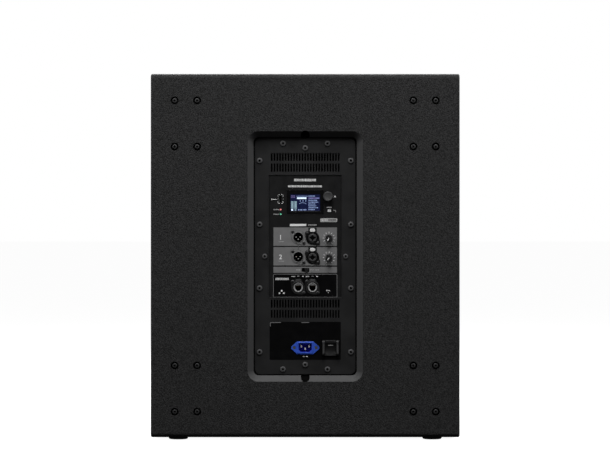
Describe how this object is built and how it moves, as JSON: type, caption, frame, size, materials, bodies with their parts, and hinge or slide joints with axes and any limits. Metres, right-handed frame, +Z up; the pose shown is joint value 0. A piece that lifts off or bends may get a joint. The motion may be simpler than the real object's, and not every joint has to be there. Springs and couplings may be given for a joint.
{
  "type": "powered subwoofer",
  "caption": "Powered subwoofer: plywood cabinet with a large cone woofer and slot port behind a steel grille, and a recessed rear amplifier panel with display, sockets, vents and controls.",
  "frame": {"origin": "middle of the cabinet's footprint, on the surface that its feet stand on", "axes": "+Z up, the grille faces -Y, the amplifier panel faces +Y, +X is the right side seen from the grille"},
  "size_m": [0.565, 0.72, 0.671],
  "materials": {
    "coating": "plywood under a textured black polyurea coating",
    "plywood": "bare birch plywood",
    "rubber": "matt black rubber",
    "cast_handle": "black powder-coated casting",
    "grille_steel": "black powder-coated perforated steel sheet",
    "foam": "black open-cell acoustic foam",
    "cast_basket": "black-painted cast aluminium",
    "surround": "black treated roll",
    "cone": "black pressed paper pulp",
    "coil": "copper winding on a former",
    "spider": "resin-treated woven cloth",
    "magnet_steel": "plain steel",
    "magnet_ferrite": "dark ferrite",
    "panel_paint": "fine black powder coat",
    "aluminium": "plain aluminium",
    "board_green": "green circuit board",
    "black_plastic": "fine-textured black moulding",
    "grey_plastic": "fine-textured dark grey moulding",
    "window": "dark tinted clear window",
    "blue_plastic": "fine-textured blue moulding",
    "latch_metal": "satin nickel plating",
    "cable": "red sheathed cable"
  },
  "bodies": {
    "cabinet": {"top_panel": "coating", "bottom_panel": "coating", "side_panel_left": "coating", "side_panel_right": "coating", "rear_panel": "coating", "front_baffle": "coating", "amp_mount_frame": "coating", "port_shelf": "plywood", "window_brace": "plywood", "foot_front_left": "rubber", "foot_front_right": "rubber", "foot_rear_left": "rubber", "foot_rear_right": "rubber", "handle_left_upper": "cast_handle", "handle_left_lower": "cast_handle", "handle_right_upper": "cast_handle", "handle_right_lower": "cast_handle", "pole_socket_top": "cast_handle", "front_grille": "grille_steel", "grille_foam": "foam", "woofer_basket": "cast_basket", "woofer_surround": "surround", "woofer_spider": "spider", "magnet_top_plate": "magnet_steel", "magnet_back_plate": "magnet_steel", "magnet_ring": "magnet_ferrite", "amp_panel": "panel_paint", "amp_enclosure": "panel_paint", "heat_sink": "aluminium", "amplifier_board": "board_green", "input_board": "board_green", "control_panel": "black_plastic", "display_module": "black_plastic", "output_socket_1": "black_plastic", "output_socket_2": "black_plastic", "input_socket_1": "black_plastic", "input_socket_2": "black_plastic", "network_socket_1": "black_plastic", "network_socket_2": "black_plastic", "power_switch_frame": "black_plastic", "fan_frame": "black_plastic", "display_window": "window", "usb_port": "latch_metal", "mains_inlet": "blue_plastic", "speaker_lead": "cable"},
    "cone_assembly": {"woofer_cone": "cone", "woofer_dust_cap": "cone", "voice_coil": "coil"},
    "fan_wheel": {"fan_rotor": "black_plastic"},
    "encoder_push_shaft": {"encoder_shaft": "latch_metal"},
    "encoder_turn_knob": {"encoder_knob": "grey_plastic"},
    "home_key": {"home_button": "grey_plastic"},
    "level_control_1": {"level_knob_1": "black_plastic"},
    "level_control_2": {"level_knob_2": "black_plastic"},
    "mode_slider": {"mode_switch_slider": "grey_plastic"},
    "input_release_1": {"input_latch_1": "latch_metal"},
    "input_release_2": {"input_latch_2": "latch_metal"},
    "network_release_1": {"network_latch_1": "latch_metal"},
    "network_release_2": {"network_latch_2": "latch_metal"},
    "mains_rocker": {"power_rocker": "black_plastic"}
  },
  "joints": [
    {"name": "cone_travel", "type": "slide", "parent": "cabinet", "child": "cone_assembly", "axis": [0, -1, 0], "range_m": [-0.008, 0.008], "stiffness_N_per_m": 8000, "deforming": ["woofer_surround", "woofer_spider"]},
    {"name": "fan_spin", "type": "hinge", "parent": "cabinet", "child": "fan_wheel", "pos_m": [0, 0.27, 0.2121], "axis": [0, 0, 1], "continuous": true},
    {"name": "encoder_push", "type": "slide", "parent": "cabinet", "child": "encoder_push_shaft", "axis": [0, -1, 0], "range_m": [0, 0.0006], "stiffness_N_per_m": 2000},
    {"name": "encoder_turn", "type": "hinge", "parent": "encoder_push_shaft", "child": "encoder_turn_knob", "pos_m": [-0.0416, 0.343, 0.4468], "axis": [0, -1, 0], "continuous": true},
    {"name": "home_button_press", "type": "slide", "parent": "cabinet", "child": "home_key", "axis": [0, -1, 0], "range_m": [0, 0.0006], "stiffness_N_per_m": 1500},
    {"name": "level_1_turn", "type": "hinge", "parent": "cabinet", "child": "level_control_1", "pos_m": [-0.0436, 0.343, 0.3705], "axis": [0, -1, 0], "range_deg": [0, 300]},
    {"name": "level_2_turn", "type": "hinge", "parent": "cabinet", "child": "level_control_2", "pos_m": [-0.0436, 0.343, 0.3346], "axis": [0, -1, 0], "range_deg": [0, 300]},
    {"name": "mode_switch_slide", "type": "slide", "parent": "cabinet", "child": "mode_slider", "axis": [1, 0, 0], "range_m": [0, 0.0036]},
    {"name": "input_release_1_press", "type": "slide", "parent": "cabinet", "child": "input_release_1", "axis": [0, -1, 0], "range_m": [0, 0.0015], "stiffness_N_per_m": 1200},
    {"name": "input_release_2_press", "type": "slide", "parent": "cabinet", "child": "input_release_2", "axis": [0, -1, 0], "range_m": [0, 0.0015], "stiffness_N_per_m": 1200},
    {"name": "network_release_1_press", "type": "slide", "parent": "cabinet", "child": "network_release_1", "axis": [0, -1, 0], "range_m": [0, 0.0015], "stiffness_N_per_m": 1200},
    {"name": "network_release_2_press", "type": "slide", "parent": "cabinet", "child": "network_release_2", "axis": [0, -1, 0], "range_m": [0, 0.0015], "stiffness_N_per_m": 1200},
    {"name": "power_rocker_tip", "type": "hinge", "parent": "cabinet", "child": "mains_rocker", "pos_m": [-0.0464, 0.344, 0.1693], "axis": [1, 0, 0], "range_deg": [0, 16]}
  ]
}
